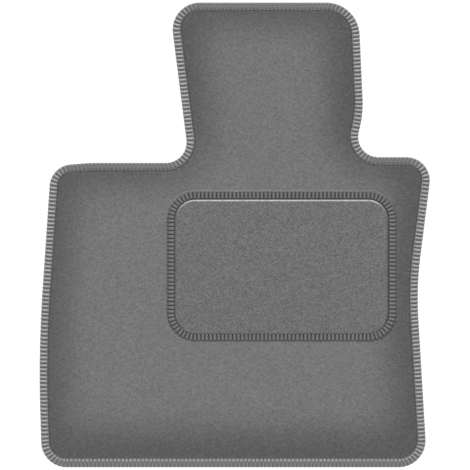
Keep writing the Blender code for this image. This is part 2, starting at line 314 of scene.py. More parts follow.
def makeFibreGrain():
    # Cut tufts: soft cells with ragged borders have a grey of their own, single fibre tips lie over that, and
    # the tufts stand up in the middle. Puts out a tone about 1 and a height from 0 to 1.
    grain = {"finer": 2.2, "ragged": 2.0, "tipTone": 2.0,
             "tipHeight": 0.7, "baseHeight": 0.4, "ownHeight": 0.2}
    group, given, made = startGroup("fibreGrain", {"Vector": "Vector", "Scale": "Float", "Contrast": "Float"},
                                    {"Tone": "Float", "Height": "Float"})
    tipScale = sums(group, "MULTIPLY", given["Scale"], grain["finer"])
    tips = place(group, "ShaderNodeTexNoise", {"Vector": given["Vector"], "Scale": tipScale, "Detail": 4.0,
                                               "Roughness": 0.75}).outputs
    stray = vectorSums(group, "SUBTRACT", {0: tips["Color"], 1: (0.5, 0.5, 0.5)})
    reach = sums(group, "DIVIDE", grain["ragged"], given["Scale"])
    ragged = vectorSums(group, "ADD", {0: given["Vector"],
                                       1: vectorSums(group, "SCALE", {0: stray, "Scale": reach})})
    tufts = place(group, "ShaderNodeTexVoronoi", {"Vector": ragged, "Scale": given["Scale"],
                                                  "Smoothness": 0.5}, feature="SMOOTH_F1").outputs
    own = place(group, "ShaderNodeSeparateColor", {"Color": tufts["Color"]}).outputs[0]
    both = sums(group, "MULTIPLY_ADD", tips["Fac"], grain["tipTone"], own)
    middle = 0.5 * grain["tipTone"] + 0.5
    group.links.new(toneAboutOne(group, both, middle, given["Contrast"]), made["Tone"])
    raised = sums(group, "MULTIPLY_ADD", tips["Fac"], grain["tipHeight"], grain["baseHeight"])
    raised = sums(group, "SUBTRACT", raised, tufts["Distance"])
    group.links.new(sums(group, "MULTIPLY_ADD", own, grain["ownHeight"], raised), made["Height"])
    return group


def makeYarnPly():
    # Strands that lie side by side across a stitch and twist along it, with fibres that follow them, and
    # painted shade in the grooves between strands. The map gives mm along and across the edge.
    ply = {"fibresAcross": 3.0, "fibresAlong": 0.55, "strandShare": 0.6, "fibreShare": 0.8, "middle": 0.78}
    group, given, made = startGroup("yarnPly", {"Vector": "Vector", "Strands": "Float", "Twist": "Float",
                                                "Contrast": "Float"}, {"Tone": "Float", "Height": "Float"})
    split = place(group, "ShaderNodeSeparateXYZ", {"Vector": given["Vector"]}).outputs
    phase = sums(group, "ADD", sums(group, "MULTIPLY", split[0], given["Strands"]),
                 sums(group, "MULTIPLY", split[1], given["Twist"]))
    wave = sums(group, "ABSOLUTE", sums(group, "SINE", sums(group, "MULTIPLY", phase, math.pi)))
    along = place(group, "ShaderNodeCombineXYZ", {0: sums(group, "MULTIPLY", phase, ply["fibresAcross"]),
                                                  1: sums(group, "MULTIPLY", split[1], ply["fibresAlong"])})
    fibres = place(group, "ShaderNodeTexNoise", {"Vector": along.outputs[0], "Scale": 1.0, "Detail": 3.0,
                                                 "Roughness": 0.65}).outputs["Fac"]
    both = sums(group, "ADD", sums(group, "MULTIPLY", wave, ply["strandShare"]),
                sums(group, "MULTIPLY", fibres, ply["fibreShare"]))
    group.links.new(toneAboutOne(group, both, ply["middle"], given["Contrast"]), made["Tone"])
    group.links.new(both, made["Height"])
    return group


def makeClothWeave():
    # Plain weave of flat tapes: warp and weft pass over and under each other in a checkerboard, painted
    # darker where a tape dips under, as shade
    weave = {"underShade": 0.8, "toneRise": 0.4}
    group, given, made = startGroup("clothWeave", {"Vector": "Vector", "Scale": "Float"},
                                    {"Tone": "Float", "Height": "Float"})
    split = place(group, "ShaderNodeSeparateXYZ", {"Vector": given["Vector"]}).outputs
    x, y = (sums(group, "MULTIPLY", split[k], given["Scale"]) for k in (0, 1))
    over = sums(group, "MULTIPLY", sums(group, "SINE", sums(group, "MULTIPLY", x, math.pi)),
                sums(group, "SINE", sums(group, "MULTIPLY", y, math.pi)))
    height = sums(group, "MULTIPLY_ADD", over, 0.5, 0.5)
    group.links.new(sums(group, "MULTIPLY_ADD", height, weave["toneRise"], weave["underShade"]), made["Tone"])
    group.links.new(height, made["Height"])
    return group


def makeSoftPatches():
    # Slow change of tone over the surface, from wear and from how the fibres lie
    group, given, made = startGroup("softPatches", {"Vector": "Vector", "Size": "Float", "Amount": "Float"},
                                    {"Tone": "Float"})
    scale = sums(group, "DIVIDE", 1.0, given["Size"])
    noise = place(group, "ShaderNodeTexNoise", {"Vector": given["Vector"], "Scale": scale, "Detail": 1.0})
    group.links.new(toneAboutOne(group, noise.outputs["Fac"], 0.5, given["Amount"]), made["Tone"])
    return group


groups = {"fibreGrain": makeFibreGrain(), "yarnPly": makeYarnPly(), "clothWeave": makeClothWeave(),
          "softPatches": makeSoftPatches()}
print("shader groups:", ", ".join(groups))


# Finishes

def startFinish(name, look):
    # A plain matt grey, which the nodes then work on
    material = bpy.data.materials.new(name)
    material.use_nodes = True
    shader = material.node_tree.nodes["Principled BSDF"]
    shader.inputs["Base Color"].default_value = (look["grey"],) * 3 + (1.0,)
    shader.inputs["Roughness"].default_value = look["rough"]
    shader.inputs["Specular IOR Level"].default_value = look["shine"]
    return material, material.node_tree, shader


def useGroup(tree, name, **inputs):
    return place(tree, "ShaderNodeGroup", inputs, node_tree=groups[name]).outputs


def usePatches(tree, look, where):
    return useGroup(tree, "softPatches", Vector=where, Size=look["patchSize"], Amount=look["patches"])["Tone"]


def useGrain(tree, look, where):
    return useGroup(tree, "fibreGrain", Vector=where, Scale=look["grain"], Contrast=look["contrast"])


def finishColour(tree, shader, look, *tones):
    # Base grey times every tone
    colourA, colourB, colourOut = 6, 7, 2  # a Mix node's sockets for colours
    tone = tones[0]
    for other in tones[1:]:
        tone = sums(tree, "MULTIPLY", tone, other)
    grey = (look["grey"],) * 3 + (1.0,)
    mixed = place(tree, "ShaderNodeMix", {"Factor": 1.0, colourA: grey, colourB: tone},
                  data_type="RGBA", blend_type="MULTIPLY")
    tree.links.new(mixed.outputs[colourOut], shader.inputs["Base Color"])


def finishRelief(tree, shader, look, height):
    # What stands up is rubbed smoother than what lies deep: rough at height 0, less by polish at height 1
    polished = sums(tree, "MULTIPLY_ADD", height, -look["polish"], look["rough"])
    tree.links.new(polished, shader.inputs["Roughness"])
    bump = place(tree, "ShaderNodeBump", {"Height": height, "Distance": look["relief"],
                                          "Strength": look["bump"]})
    tree.links.new(bump.outputs["Normal"], shader.inputs["Normal"])


def objectPlace(tree):
    return place(tree, "ShaderNodeTexCoord").outputs["Object"]


def attribute(tree, name):
    return place(tree, "ShaderNodeAttribute", attribute_name=name).outputs["Fac"]


def pileFinish(name, look):
    # Cut pile: fibre grain, slow patches and the painted light and shade that the mesh carries
    material, tree, shader = startFinish(name, look)
    where = objectPlace(tree)
    grain = useGrain(tree, look, where)
    patches = usePatches(tree, look, where)
    finishColour(tree, shader, look, grain["Tone"], patches, attribute(tree, "pilePaintedLight"))
    finishRelief(tree, shader, look, grain["Height"])
    return material


def yarnFinish(name, look):
    # Yarn or thread: twisted strands on the piece's own map, slow patches and the painted light and shade
    # that the mesh carries
    material, tree, shader = startFinish(name, look)
    along = place(tree, "ShaderNodeUVMap", uv_map="threadMap").outputs["UV"]
    ply = useGroup(tree, "yarnPly", Vector=along, Strands=look["strands"], Twist=look["twist"],
                   Contrast=look["contrast"])
    patches = usePatches(tree, look, objectPlace(tree))
    finishColour(tree, shader, look, ply["Tone"], patches, attribute(tree, "ribTone"))
    finishRelief(tree, shader, look, ply["Height"])
    return material


def clothFinish(name, look):
    # Backing cloth of woven tape, with a little latex grain on it
    material, tree, shader = startFinish(name, look)
    where = objectPlace(tree)
    weave = useGroup(tree, "clothWeave", Vector=where, Scale=look["tapes"])
    finishColour(tree, shader, look, weave["Tone"], useGrain(tree, look, where)["Tone"])
    finishRelief(tree, shader, look, weave["Height"])
    return material


def crumbFinish(name, look):
    # Rubber crumb pressed into a sheet: crumbs of a millimetre or two with soft shine and dusty patches, and
    # painted shade in the gaps between crumbs
    material, tree, shader = startFinish(name, look)
    where = objectPlace(tree)
    deep = place(tree, "ShaderNodeTexVoronoi", {"Vector": where, "Scale": look["crumbs"]}).outputs["Distance"]
    # painted shade: darker towards the gaps between crumbs
    crumbTone = sums(tree, "MULTIPLY_ADD", deep, -look["deepShade"], look["crumbLight"])
    grain = useGrain(tree, look, where)
    finishColour(tree, shader, look, crumbTone, grain["Tone"], usePatches(tree, look, where))
    finishRelief(tree, shader, look, sums(tree, "SUBTRACT", grain["Height"], deep))
    return material


# grain, tapes and crumbs to the metre, patch sizes and relief in metres, strands to the mm
pileLook = {"shine": 0.1, "patchSize": 0.06, "rough": 1.0, "polish": 0.12, "relief": 0.0005, "bump": 0.15}
carpetLook = {**pileLook, "grey": 0.164, "grain": 590.0, "contrast": 0.39, "patches": 0.08}
padLook = {**pileLook, "grey": 0.1485, "grain": 830.0, "contrast": 0.70, "patches": 0.04}
yarnLook = {"strands": 0.75, "twist": 0.16, "patches": 0.12, "patchSize": 0.03, "polish": 0.2,
            "relief": 0.0003}
edgeYarnLook = {**yarnLook, "grey": 0.168, "contrast": 0.35, "bump": 0.5, "rough": 0.76, "shine": 0.4}
padYarnLook = {**yarnLook, "grey": 0.175, "contrast": 0.30, "bump": 0.4, "rough": 0.96, "shine": 0.2}
threadLook = {**yarnLook, "grey": 0.14, "strands": 1.3, "twist": 1.6, "contrast": 0.5, "bump": 0.5,
              "rough": 0.86, "shine": 0.3}
clothLook = {"shine": 0.2, "grain": 900.0, "contrast": 0.5, "rough": 0.95, "polish": 0.2, "relief": 0.0003,
             "bump": 0.6}
crumbLook = {"grey": 0.035, "shine": 0.35, "crumbs": 420.0, "crumbLight": 1.3, "deepShade": 0.7,
             "grain": 1500.0, "contrast": 0.8, "patches": 0.5, "patchSize": 0.08, "rough": 0.8,
             "polish": 0.25, "relief": 0.0006, "bump": 0.7}
finishes = {
    "carpet_pile": pileFinish("carpetPileFinish", carpetLook),
    "heel_pad_pile": pileFinish("heelPadPileFinish", padLook),
    "edge_yarn": yarnFinish("edgeYarnFinish", edgeYarnLook),
    "heel_pad_yarn": yarnFinish("heelPadYarnFinish", padYarnLook),
    "sewing_thread": yarnFinish("sewingThreadFinish", threadLook),
    "primary_backing": clothFinish("tuftClothFinish", {**clothLook, "grey": 0.30, "tapes": 800.0}),
    "heel_pad_backing": clothFinish("heelPadClothFinish", {**clothLook, "grey": 0.06, "tapes": 900.0}),
    "anti_slip_backing": crumbFinish("rubberCrumbFinish", crumbLook),
}
print("finishes:", len(finishes))


# Painted light and shade along a border

def facing(inward):
    # How far an edge faces the toe, the heel, left and right: squares of its normal's parts, which add up
    # to 1
    x, y = inward[..., 0], inward[..., 1]
    return {"toe": np.minimum(y, 0) ** 2, "heel": np.maximum(y, 0) ** 2,
            "left": np.maximum(x, 0) ** 2, "right": np.minimum(x, 0) ** 2}


def toneAround(inward, inset, curves):
    # Painted light and shade of a border: each way that it can face has a curve of tone over inset, weighted
    # by how far it faces that way
    shares = facing(inward)
    return sum(shares[way] * np.interp(inset, *np.array(curves[way], float).T) for way in shares)


def allRound(same):
    return dict.fromkeys(("toe", "heel", "left", "right"), same)


def inwardAt(outline, xy, inset):
    # Inward normal at points anywhere on a sheet: how fast the inset grows along x and along y
    step, least = 0.5, 1e-9
    moves = np.array([(step, 0), (0, step)])
    grown = np.stack([insetOf(outline, xy + move) - inset for move in moves], axis=1)
    return grown / np.maximum(np.linalg.norm(grown, axis=1), least)[:, None]


# Carpet of the mat

carpet = {
    "station": matCut["station"], "grid": 2.0, "coarse": 8.0, "tuft": 0.05, "seed": 3,
    # inset and height from the underside, round the pinched edge, up the wall of fibres beside the stitching
    "section": [(17.5, 3.4), (11.5, 3.6), (2.4, 3.6), (2.4, 4.9), (7.5, 4.9), (10.4, 5.25), (11.4, 5.55),
                (12.1, 5.85), (12.4, 6.3), (12.8, 6.5), (13.5, 6.58), (14.5, 6.62), (15.8, 6.66),
                (17.5, 6.71), (19.6, 6.77)],
    "top": 7.4, "crownGap": 0.63, "crownRun": 30.0,
    # inset from the pad's edge and height, where the pad presses a bed into the pile
    "bedRings": [(-3.4, 7.4), (-2.6, 7.4), (-2.0, 7.4), (-1.5, 7.4), (-1.0, 7.4), (-0.6, 7.4), (-0.2, 7.36),
                 (-0.1, 4.2), (2.0, 4.2)],
    # painted shade: the pile is painted darker along the border, like a soft inner shadow, and the shade is
    # shifted so that it reaches further in at the heel and on the right, away from the light
    "edgeShade": 0.396, "edgeReach": 49.5, "edgeFall": 2.55, "edgeSpread": 32.0, "shadeShift": (5.1, -12.0),
    "edgePaintedLight": {  # painted light and shade beside the edge stitching, by the way the edge faces the light
        "toe": [(12.1, 0.89), (14.0, 0.89), (17.0, 0.93), (45.0, 0.97), (60.0, 1.0)],
        "heel": [(12.1, 1.0), (14.0, 1.2), (16.0, 1.02), (20.0, 1.0)],
        "left": [(12.1, 0.83), (13.4, 0.96), (45.0, 0.97), (60.0, 1.0)],
        "right": [(12.1, 0.83), (13.4, 0.97), (45.0, 0.97), (60.0, 1.0)]},
    "padPaintedLight": {  # painted light and shade beside the heel pad: a painted highlight along its toe side, and lighter where the pad's edge shades the pile
        "toe": [(-3.4, 0.98), (-2.6, 0.92), (-2.0, 1.0), (-1.0, 1.6), (-0.2, 1.2)],
        "heel": [(-1.5, 1.0), (-0.2, 1.4)],
        "left": [(-2.0, 1.0), (-0.2, 1.12)],
        "right": [(-1.5, 1.0), (-0.2, 1.05)]},
}


def carpetField(rng):
    # Outside the pad a fine grid, with rings of points where the pile is pressed down under the pad's edge,
    # and a coarse grid under the pad. Height: the crown eases to its full height, less the pressed bed.
    edge = carpet["section"][topRing][0]
    ringInset, ringHeight = np.array(carpet["bedRings"]).T
    fine = onField(mat, edge, carpet["grid"], rng, carpet["station"])
    fine = fine[insetOf(pad, fine) < ringInset[0] - carpet["grid"] / 2]
    coarse = onField(pad, ringInset[-1], carpet["coarse"], rng, padCut["station"])
    rings = [ringAt(pad, inset, padCut["station"]) for inset in ringInset]
    points = np.concatenate([fine, *rings, coarse])
    crown = carpet["top"] - carpet["crownGap"] * np.exp((edge - insetOf(mat, points)) / carpet["crownRun"])
    heights = crown + np.interp(insetOf(pad, points), ringInset, ringHeight - carpet["top"])
    heights[:len(fine)] += rng.normal(0, carpet["tuft"], len(fine))
    return points, heights


def feltInset(outline, xy, spread):
    # Distance from the edge as felt from all round: the share of the ground about a point that lies on the
    # mat, under a bell curve of that spread, turned into the distance at which a straight edge leaves the
    # same share. It is shorter in an outer corner and longer in an inner one.
    cell, margin = spread / 8, spread * 4
    edge = ringAt(outline, 0, cell)
    low, high = edge.min(axis=0) - margin, edge.max(axis=0) + margin
    x, y = np.arange(low[0], high[0], cell), np.arange(low[1], high[1], cell)
    grid = np.stack(np.meshgrid(x, y), axis=-1).reshape(-1, 2)
    onMat = np.clip(insetOf(outline, grid) / cell + 0.5, 0, 1).reshape(len(y), len(x))
    wave = np.hypot(np.fft.fftfreq(len(y), cell)[:, None], np.fft.fftfreq(len(x), cell))
    share = np.fft.ifft2(np.fft.fft2(onMat) * np.exp(-2 * (math.pi * spread * wave) ** 2)).real
    u, v = ((xy - low) / cell).T
    i, j = u.astype(int), v.astype(int)
    u, v = u - i, v - j
    shareThere = ((share[j, i] * (1 - u) + share[j, i + 1] * u) * (1 - v)
                  + (share[j + 1, i] * (1 - u) + share[j + 1, i + 1] * u) * v)
    steps = np.linspace(-3, 4, 141)  # distances from a straight edge, in spreads
    straight = np.array([0.5 + 0.5 * math.erf(step / math.sqrt(2)) for step in steps])
    return spread * np.interp(shareThere, straight, steps)


def carpetPaintedLight(points):
    # Painted light and shade on the pile. Tone 1 in the field. As a painted shade it falls towards the edge
    # as exp(-(distance / reach) ** fall), with the felt distance taken from a shifted place. Beside the
    # stitching and the pad it follows the painted light curves for the way they face.
    xy = points[:, :2]
    away = np.maximum(feltInset(mat, xy + np.array(carpet["shadeShift"]), carpet["edgeSpread"]), 0)
    tone = 1 - carpet["edgeShade"] * np.exp(-(away / carpet["edgeReach"]) ** carpet["edgeFall"])
    for outline, curves in ((mat, carpet["edgePaintedLight"]), (pad, carpet["padPaintedLight"])):
        inset = insetOf(outline, xy)
        tone *= toneAround(inwardAt(outline, xy, inset), inset, curves)
    return {"pilePaintedLight": tone}


rng = np.random.default_rng(carpet["seed"])
carpetPile = sheetPiece("carpetPile", mat, carpet, carpetField(rng), flatField(mat, carpet, bottomRing, rng),
                        finishes["carpet_pile"], carpetPaintedLight)


# Cloth that holds the tufts, and the rubber crumb under it

tuftClothShape = {"station": 3.0, "coarse": 8.0, "seed": 4,
                  "section": [(17.5, 2.3), (11.5, 2.8), (2.4, 2.8), (2.4, 3.3), (11.5, 3.3), (17.5, 3.1)]}
rng = np.random.default_rng(tuftClothShape["seed"])
tuftCloth = sheetPiece("tuftCloth", mat, tuftClothShape, flatField(mat, tuftClothShape, topRing, rng),
                       flatField(mat, tuftClothShape, bottomRing, rng), finishes["primary_backing"])

crumb = {
    "station": matCut["station"], "grid": 2.1, "coarse": 8.0, "seed": 5,
    "pits": 0.30, "pitShape": (1.2, 2.2),  # depth of the deepest pit, and how the depths are spread below it
    "section": [(18.4, 0.12), (17.5, 0.2), (14.5, 0.85), (11.5, 1.5), (2.4, 1.5), (2.4, 2.5), (11.5, 2.5),
                (17.5, 2.0)],
    # inset from the pad's edge and height, for the bobbin thread
    "groove": [(10.1, 0.0), (10.45, 0.0), (10.6, 1.3), (11.9, 1.3), (12.05, 0.0), (12.4, 0.0)],
}


def crumbField(rng):
    # Underside: crumbs stand down to the floor and pits lie above it, with the groove for the thread
    ringInset, ringHeight = np.array(crumb["groove"]).T
    grid = onField(mat, crumb["section"][bottomRing][0], crumb["grid"], rng, crumb["station"])
    inPad, clear = insetOf(pad, grid), crumb["grid"] / 2
    grid = grid[(inPad < ringInset[0] - clear) | (inPad > ringInset[-1] + clear)]
    rings = [ringAt(pad, inset, padCut["station"]) for inset in ringInset]
    points = np.concatenate([grid, *rings])
    heights = np.interp(insetOf(pad, points), ringInset, ringHeight)
    heights[:len(grid)] += crumb["pits"] * rng.beta(*crumb["pitShape"], len(grid))
    return points, heights


rng = np.random.default_rng(crumb["seed"])
crumbBacking = sheetPiece("crumbBacking", mat, crumb, flatField(mat, crumb, topRing, rng), crumbField(rng),
                          finishes["anti_slip_backing"])
print("mat layers done")


# Heel pad

heelPad = {
    "station": padCut["station"], "grid": 1.4, "coarse": 8.0, "tuft": 0.05, "seed": 6,
    "section": [(13.9, 5.8), (9.9, 6.2), (1.3, 6.2), (1.3, 6.8), (6.0, 6.8), (11.55, 6.8), (11.65, 7.3),
                (11.8, 7.6), (12.1, 7.82), (12.6, 7.98), (13.1, 8.06), (13.6, 8.1), (14.0, 8.12),
                (14.5, 8.14), (16.0, 8.15)],
    "rimPaintedLight": {  # painted highlight along the pile's toe side, and painted light and shade round the rest of its rim
        "toe": [(11.65, 0.65), (12.1, 0.95), (13.1, 3.4), (14.0, 1.65), (14.5, 1.15), (16.0, 1.0)],
        "heel": [(11.65, 1.6), (12.6, 1.9), (13.6, 1.08), (14.0, 0.98)],
        "left": [(11.65, 0.78), (12.6, 0.93), (14.5, 1.0)],
        "right": [(11.65, 0.6), (12.6, 0.64), (13.6, 0.9), (15.0, 1.0)]},
}


def heelPadField(rng):
    points, heights = flatField(pad, heelPad, topRing, rng, "grid")
    return points, heights + rng.normal(0, heelPad["tuft"], len(points))


def heelPadPaintedLight(points):
    # Painted light and shade: the curves for the way it faces along the rim, which end at tone 1 or close to
    # it in the field
    xy = points[:, :2]
    inset = insetOf(pad, xy)
    return {"pilePaintedLight": toneAround(inwardAt(pad, xy, inset), inset, heelPad["rimPaintedLight"])}


rng = np.random.default_rng(heelPad["seed"])
heelPadPile = sheetPiece("heelPadPile", pad, heelPad, heelPadField(rng),
                         flatField(pad, heelPad, bottomRing, rng), finishes["heel_pad_pile"], heelPadPaintedLight)

padClothShape = {"station": 3.0, "coarse": 8.0, "seed": 7,
                 "section": [(13.9, 4.5), (9.9, 5.5), (1.3, 5.5), (1.3, 5.9), (9.9, 5.9), (13.9, 5.5)]}
rng = np.random.default_rng(padClothShape["seed"])
heelPadCloth = sheetPiece("heelPadCloth", pad, padClothShape, flatField(pad, padClothShape, topRing, rng),
                          flatField(pad, padClothShape, bottomRing, rng), finishes["heel_pad_backing"])
print("heel pad layers done")


# Whipped edges

stitchRow = {
    "pitch": 5.52, "line": 5.6,  # stitches are even along a line this far in from the edge
    "leanRun": 5, "bulkLimits": (-2, 1),  # stitches that lean alike, and how thin and thick they get
    "mapClose": 1.0,  # mm of map from a section's last point to its first
}
# The upper and lower yarn share an edge's row. Each has a section of inset and height on a rib (crest) and
# between two ribs (valley), placed at the columns of every stitch. tones are the ribs' painted light and
# shade over inset for each way that the edge faces, and the gaps' tones against them are painted shade
# between the stitches, painted lighter on parts of the toe edge.
edgeRow = {"seed": 11, "start": 0.23, "round": 1.4, "uneven": 0.03, "gapRound": 1.4}
padRow = {"seed": 12, "start": 0.17, "round": 3.0, "uneven": 0.03, "gapRound": 1.2}
# painted sheen: the ribs are painted lighter where the edge faces left or right, across the light
edgeSidePaintedSheen = [(1.4, 1.36), (2.8, 1.26), (4.2, 1.36), (7.0, 1.4), (8.4, 1.36), (9.8, 1.19)]
edgeUpper = {
    **edgeRow, "lean": 0.06, "bulk": 0.05,
    "gapShadeTones": {
        "toe": [(0.7, 0.0), (1.4, 0.5), (2.8, 1.48), (4.2, 1.75), (5.6, 1.55), (7.0, 1.2), (8.4, 0.85),
                (10.5, 1.1)],
        "heel": [(1.4, 1.2), (2.8, 1.35), (5.6, 1.44), (7.5, 1.9), (8.4, 1.45), (9.1, 0.9), (9.8, 0.5),
                 (11.2, 0.3)],
        "left": [(0, 0.82)], "right": [(0, 0.82)]},
    "tones": {
        "toe": [(1.4, 1.38), (2.8, 0.93), (4.2, 0.8), (7.0, 0.93), (8.4, 0.65), (9.1, 0.57), (9.8, 0.76),
                (10.5, 1.7)],
        "heel": [(1.4, 1.12), (2.8, 0.58), (4.2, 0.73), (7.0, 0.74), (8.4, 1.04), (9.1, 1.6), (9.8, 1.6),
                 (10.5, 1.06)],
        "left": edgeSidePaintedSheen, "right": edgeSidePaintedSheen},
    "columns": [0.0, 0.05, 0.13, 0.25, 0.38, 0.5, 0.62, 0.75, 0.87, 0.95],
    "crest": [(0.0, 3.67), (0.0, 5.5), (0.15, 6.4), (0.5, 6.95), (1.2, 7.22), (2.4, 7.3), (4.2, 7.3),
              (7.0, 7.3), (8.4, 7.3), (9.1, 7.27), (9.6, 7.22), (10.5, 6.9), (11.15, 6.4), (11.45, 5.95),
              (10.3, 5.55), (7.5, 5.2), (2.05, 5.2), (1.95, 3.8)],
    "valley": [(0.45, 3.67), (0.45, 4.9), (0.55, 6.0), (0.85, 6.5), (1.4, 6.75), (2.45, 6.5), (4.2, 6.2),
               (7.0, 6.2), (8.3, 6.2), (8.9, 6.42), (9.5, 6.7), (10.45, 6.72), (11.1, 6.3), (11.4, 5.9),
               (10.2, 5.55), (7.5, 5.2), (2.05, 5.2), (1.95, 3.8)],
}
edgeLower = {
    **edgeRow, "lean": -0.06, "bulk": 0.0,
    "gapShadeTones": allRound([(0, 0.82)]),
    "tones": {"toe": [(0, 1.04)], "heel": [(0, 1.16)], "left": [(0, 1.37)], "right": [(0, 1.37)]},
    "columns": [0.0, 0.08, 0.22, 0.4, 0.6, 0.78, 0.92],
    "crest": [(0.0, 3.63), (0.0, 2.2), (0.15, 1.1), (0.6, 0.4), (1.5, 0.05), (4.0, 0.0), (9.5, 0.0),
              (10.7, 0.3), (11.2, 0.9), (11.2, 1.15), (8.0, 1.2), (1.35, 1.2), (1.25, 3.45)],
    "valley": [(0.45, 3.63), (0.45, 2.5), (0.55, 1.6), (0.9, 1.0), (1.8, 0.85), (4.0, 0.85), (9.5, 0.85),
               (10.4, 0.95), (10.8, 1.05), (10.9, 1.16), (8.0, 1.2), (1.35, 1.2), (1.25, 3.45)],
}
padUpper = {
    **padRow, "lean": 0.04, "bulk": 0.04,
    "gapShadeTones": {
        "toe": [(0.7, 1.0), (1.6, 0.15), (2.8, 0.2), (5.6, 0.1), (7.0, 0.1), (9.65, 0.2)],
        "heel": [(0.7, 1.0), (2.1, 0.35), (4.2, 0.15), (7.0, 0.15), (8.4, 0.0)],
        "left": [(0.7, 1.0), (2.1, 0.55), (4.2, 0.28), (5.6, 0.2), (9.65, 0.2)],
        "right": [(0.7, 1.0), (2.1, 0.3), (4.2, 0.2), (7.0, 0.18), (8.4, 0.35), (9.4, 0.6)]},
    "tones": {
        "toe": [(0, 0.64), (1.4, 0.45), (2.8, 0.98), (5.6, 1.02), (7.0, 0.92), (8.4, 1.13), (9.65, 1.6)],
        "heel": [(0, 1.45), (1.4, 0.79), (2.8, 0.95), (4.2, 1.08), (7.0, 0.99), (8.4, 1.1), (9.65, 0.8)],
        "left": [(0, 0.87), (1.4, 0.5), (2.8, 0.68), (4.2, 1.03), (7.0, 1.04), (8.4, 1.22), (9.65, 1.35)],
        "right": [(0, 0.72), (1.4, 0.56), (2.8, 0.97), (4.2, 1.11), (7.0, 1.07), (8.4, 1.04), (9.65, 1.06)]},
    "columns": [0.0, 0.06, 0.13, 0.21, 0.3, 0.4, 0.5, 0.6, 0.7, 0.79, 0.87, 0.94],
    "crest": [(0.0, 6.35), (0.02, 7.3), (0.3, 7.52), (0.8, 7.78), (1.4, 7.95), (2.1, 8.06), (2.8, 8.1),
              (4.2, 8.1), (5.6, 8.1), (7.0, 8.1), (8.4, 8.1), (9.25, 8.1), (9.55, 8.02), (9.65, 7.8),
              (9.65, 7.15), (8.0, 7.1), (1.15, 7.1), (1.05, 6.4)],
    "valley": [(0.1, 6.35), (0.12, 7.15), (0.35, 7.3), (0.8, 7.45), (1.35, 7.55), (2.0, 7.6), (2.7, 7.62),
               (4.2, 7.62), (5.6, 7.62), (7.0, 7.62), (8.3, 7.62), (9.1, 7.62), (9.4, 7.58), (9.5, 7.4),
               (9.55, 7.13), (8.0, 7.1), (1.15, 7.1), (1.05, 6.4)],
}
padLower = {
    **padRow, "lean": -0.04, "bulk": 0.0,
    "gapShadeTones": allRound([(0, 0.2)]),
    "tones": {"toe": [(0, 1.05)], "heel": [(0, 1.6)], "left": [(0, 1.35)], "right": [(0, 1.21)]},
    "columns": [0.0, 0.1, 0.25, 0.5, 0.75, 0.9],
    "crest": [(0.0, 6.25), (0.1, 5.6), (0.4, 5.0), (1.0, 4.62), (2.0, 4.5), (8.0, 4.5), (9.1, 4.65),
              (9.6, 5.1), (8.0, 5.2), (0.85, 5.2), (0.8, 6.2)],
    "valley": [(0.15, 6.25), (0.25, 5.8), (0.45, 5.4), (0.7, 5.1), (2.0, 5.0), (8.0, 5.0), (8.9, 5.05),
               (9.3, 5.15), (8.0, 5.2), (0.85, 5.2), (0.8, 6.2)],
}


def rowEnds(outline):
    # Distance along the row's line at the end of each arc and side. The line's arc differs from the outline's
    # by the line's inset times the turn, which is negative round an outer corner.
    lengths = outline["lengths"].copy()
    lengths[::2] += stitchRow["line"] * outline["turn"]
    return np.append(0, np.cumsum(lengths))


def alongRow(outline, phase, count):
    # Distance along the outline of each place in a row of that many stitches, even along the row's line
    ends, rounds = rowEnds(outline), np.floor(phase / count)
    inRound = np.interp((phase / count - rounds) * ends[-1], ends, np.append(0, outline["ends"]))
    return inRound + rounds * outline["length"]


def smoothRound(values, width):
    # Running mean of values that go round in a ring
    kernel = np.ones(width) / width
    ring = np.concatenate([values[-width:], values, values[:width]])
    return np.convolve(ring, kernel, "same")[width:-width]


def whipRing(name, outline, shape, material):
    # Each stitch spans t from 0 to 1, and off = abs(2 t - 1) is 0 on its rib and 1 in the gaps. Its section
    # is the valley's plus 1 - off ** round times the step to the crest's: a roof at 1, flatter on top as
    # round grows. Stitches differ a little in width and bulk, and lean by a slope that drifts along the edge.
    # The painted light and shade goes from the rib's to the gap's as off ** gapRound goes from 0 to 1.
    rng = np.random.default_rng(shape["seed"])
    count = round(rowEnds(outline)[-1] / stitchRow["pitch"])
    t = np.array(shape["columns"])
    off = np.abs(2 * t - 1)
    starts = np.arange(count) + shape["start"] + rng.normal(0, shape["uneven"], count)
    widths = np.diff(np.append(starts, starts[0] + count))
    phase = (starts[:, None] + t * widths[:, None]).ravel()
    bulk = 1 + shape["bulk"] * np.clip(rng.normal(0, 1, count), *stitchRow["bulkLimits"])
    lift = ((1 - off ** shape["round"]) * bulk[:, None]).ravel()[:, None]
    crest, valley = np.array(shape["crest"]), np.array(shape["valley"])
    inset, height = (valley[:, k] + (crest - valley)[:, k] * lift for k in (0, 1))
    drift = smoothRound(rng.normal(0, 1, count), stitchRow["leanRun"]) * math.sqrt(stitchRow["leanRun"]) / 2
    lean = shape["lean"] * np.interp(phase, np.arange(count) + 0.5, drift, period=count)
    where = alongRow(outline, phase, count)
    points = carried(outline, where[:, None] + lean[:, None] * (inset - stitchRow["line"]), inset, height)
    across = np.cumsum(np.append(0, np.hypot(*np.diff(crest, axis=0).T)))
    uv = ringMap(np.append(phase, phase[0] + count) * stitchRow["pitch"],
                 np.append(across, across[-1] + stitchRow["mapClose"]))
    _, inward = walk(outline, where)
    # painted light and shade on each rib, and painted shade in the gaps between ribs, by the way the edge
    # faces
    ribTone, gapShadeTone = (toneAround(inward[:, None], crest[None, :, 0], shape[key])
                        for key in ("tones", "gapShadeTones"))
    tone = (1 + (gapShadeTone - 1) * np.tile(off ** shape["gapRound"], count)[:, None]) * ribTone
    faces = [ringFaces(len(phase), len(crest), True)]
    return addPiece(name, points, faces, material, uv, ribTone=tone.ravel())


